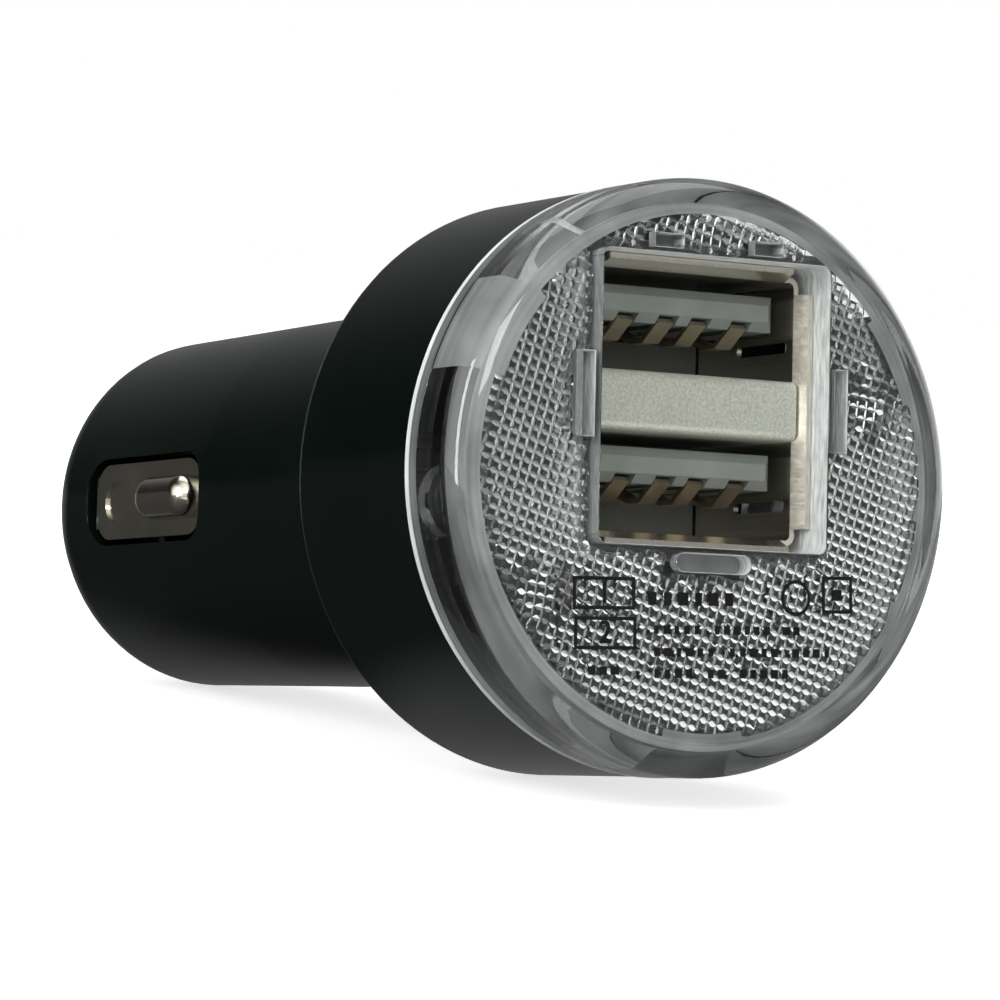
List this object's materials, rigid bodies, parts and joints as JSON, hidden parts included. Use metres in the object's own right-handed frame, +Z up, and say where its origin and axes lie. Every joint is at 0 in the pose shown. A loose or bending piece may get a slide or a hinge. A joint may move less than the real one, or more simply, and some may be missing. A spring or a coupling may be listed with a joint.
{
  "type": "car usb charger plug",
  "caption": "Round car charger plug with a slim socket barrel, sprung tip and side contacts, and a wide head whose clear prism-patterned lens surrounds stacked power ports.",
  "frame": {"origin": "on the plug's axis at the shoulder, where the barrel meets the back of the head", "axes": "+Y along the axis towards the tip that goes into the socket, the head's face towards -Y, +Z up through the stacked ports, +X to the right seen from the face"},
  "size_m": [0.0305, 0.0607, 0.0304],
  "materials": {
    "black_plastic": "fine satin black moulding",
    "clear_lens": "clear moulding with a prism pattern",
    "shell_sheet": "nickel plated sheet",
    "divider_sheet": "matt plated sheet with fine grain",
    "insulator_plastic": "translucent grey green moulding",
    "contact_metal": "plated spring bronze",
    "nickel": "polished nickel plate",
    "spring_wire": "drawn spring steel",
    "board": "dark lacquered board",
    "ferrite": "dark matt ferrite",
    "copper": "lacquered copper wire",
    "can_metal": "drawn aluminium can",
    "chip_body": "matt black epoxy",
    "resistor_body": "dark glazed ceramic",
    "lamp": "clear epoxy lamp"
  },
  "bodies": {
    "body": {"housing": "black_plastic", "lens_cap": "clear_lens", "usb_shell": "shell_sheet", "usb_rear_cover": "shell_sheet", "usb_divider": "divider_sheet", "usb_insulator": "insulator_plastic", "upper_contact_1": "contact_metal", "upper_contact_2": "contact_metal", "upper_contact_3": "contact_metal", "upper_contact_4": "contact_metal", "lower_contact_1": "contact_metal", "lower_contact_2": "contact_metal", "lower_contact_3": "contact_metal", "lower_contact_4": "contact_metal", "circuit_board": "board", "tip_spring": "spring_wire", "spring_seat": "spring_wire", "inductor_core": "ferrite", "inductor_winding": "copper", "input_capacitor": "can_metal", "output_capacitor": "can_metal", "converter_chip": "chip_body", "diode": "chip_body", "chip_resistor_1": "resistor_body", "chip_resistor_2": "resistor_body", "chip_resistor_3": "resistor_body", "indicator_led_left": "lamp", "indicator_led_right": "lamp"},
    "tip": {"tip_contact": "nickel"},
    "left_contact": {"side_contact_left": "nickel"},
    "right_contact": {"side_contact_right": "nickel"}
  },
  "joints": [
    {"name": "tip_press", "type": "slide", "parent": "body", "child": "tip", "axis": [0, -1, 0], "range_m": [0, 0.003], "stiffness_N_per_m": 1500, "springref_m": -0.002, "deforming": ["tip_spring"]},
    {"name": "left_contact_press", "type": "hinge", "parent": "body", "child": "left_contact", "pos_m": [-0.0074, 0.0321, 0], "axis": [0, 0, 1], "range_deg": [0, 8], "stiffness_Nm_per_rad": 0.39, "springref_deg": -3.44},
    {"name": "right_contact_press", "type": "hinge", "parent": "body", "child": "right_contact", "pos_m": [0.0074, 0.0321, 0], "axis": [0, 0, -1], "range_deg": [0, 8], "stiffness_Nm_per_rad": 0.39, "springref_deg": -3.44}
  ]
}
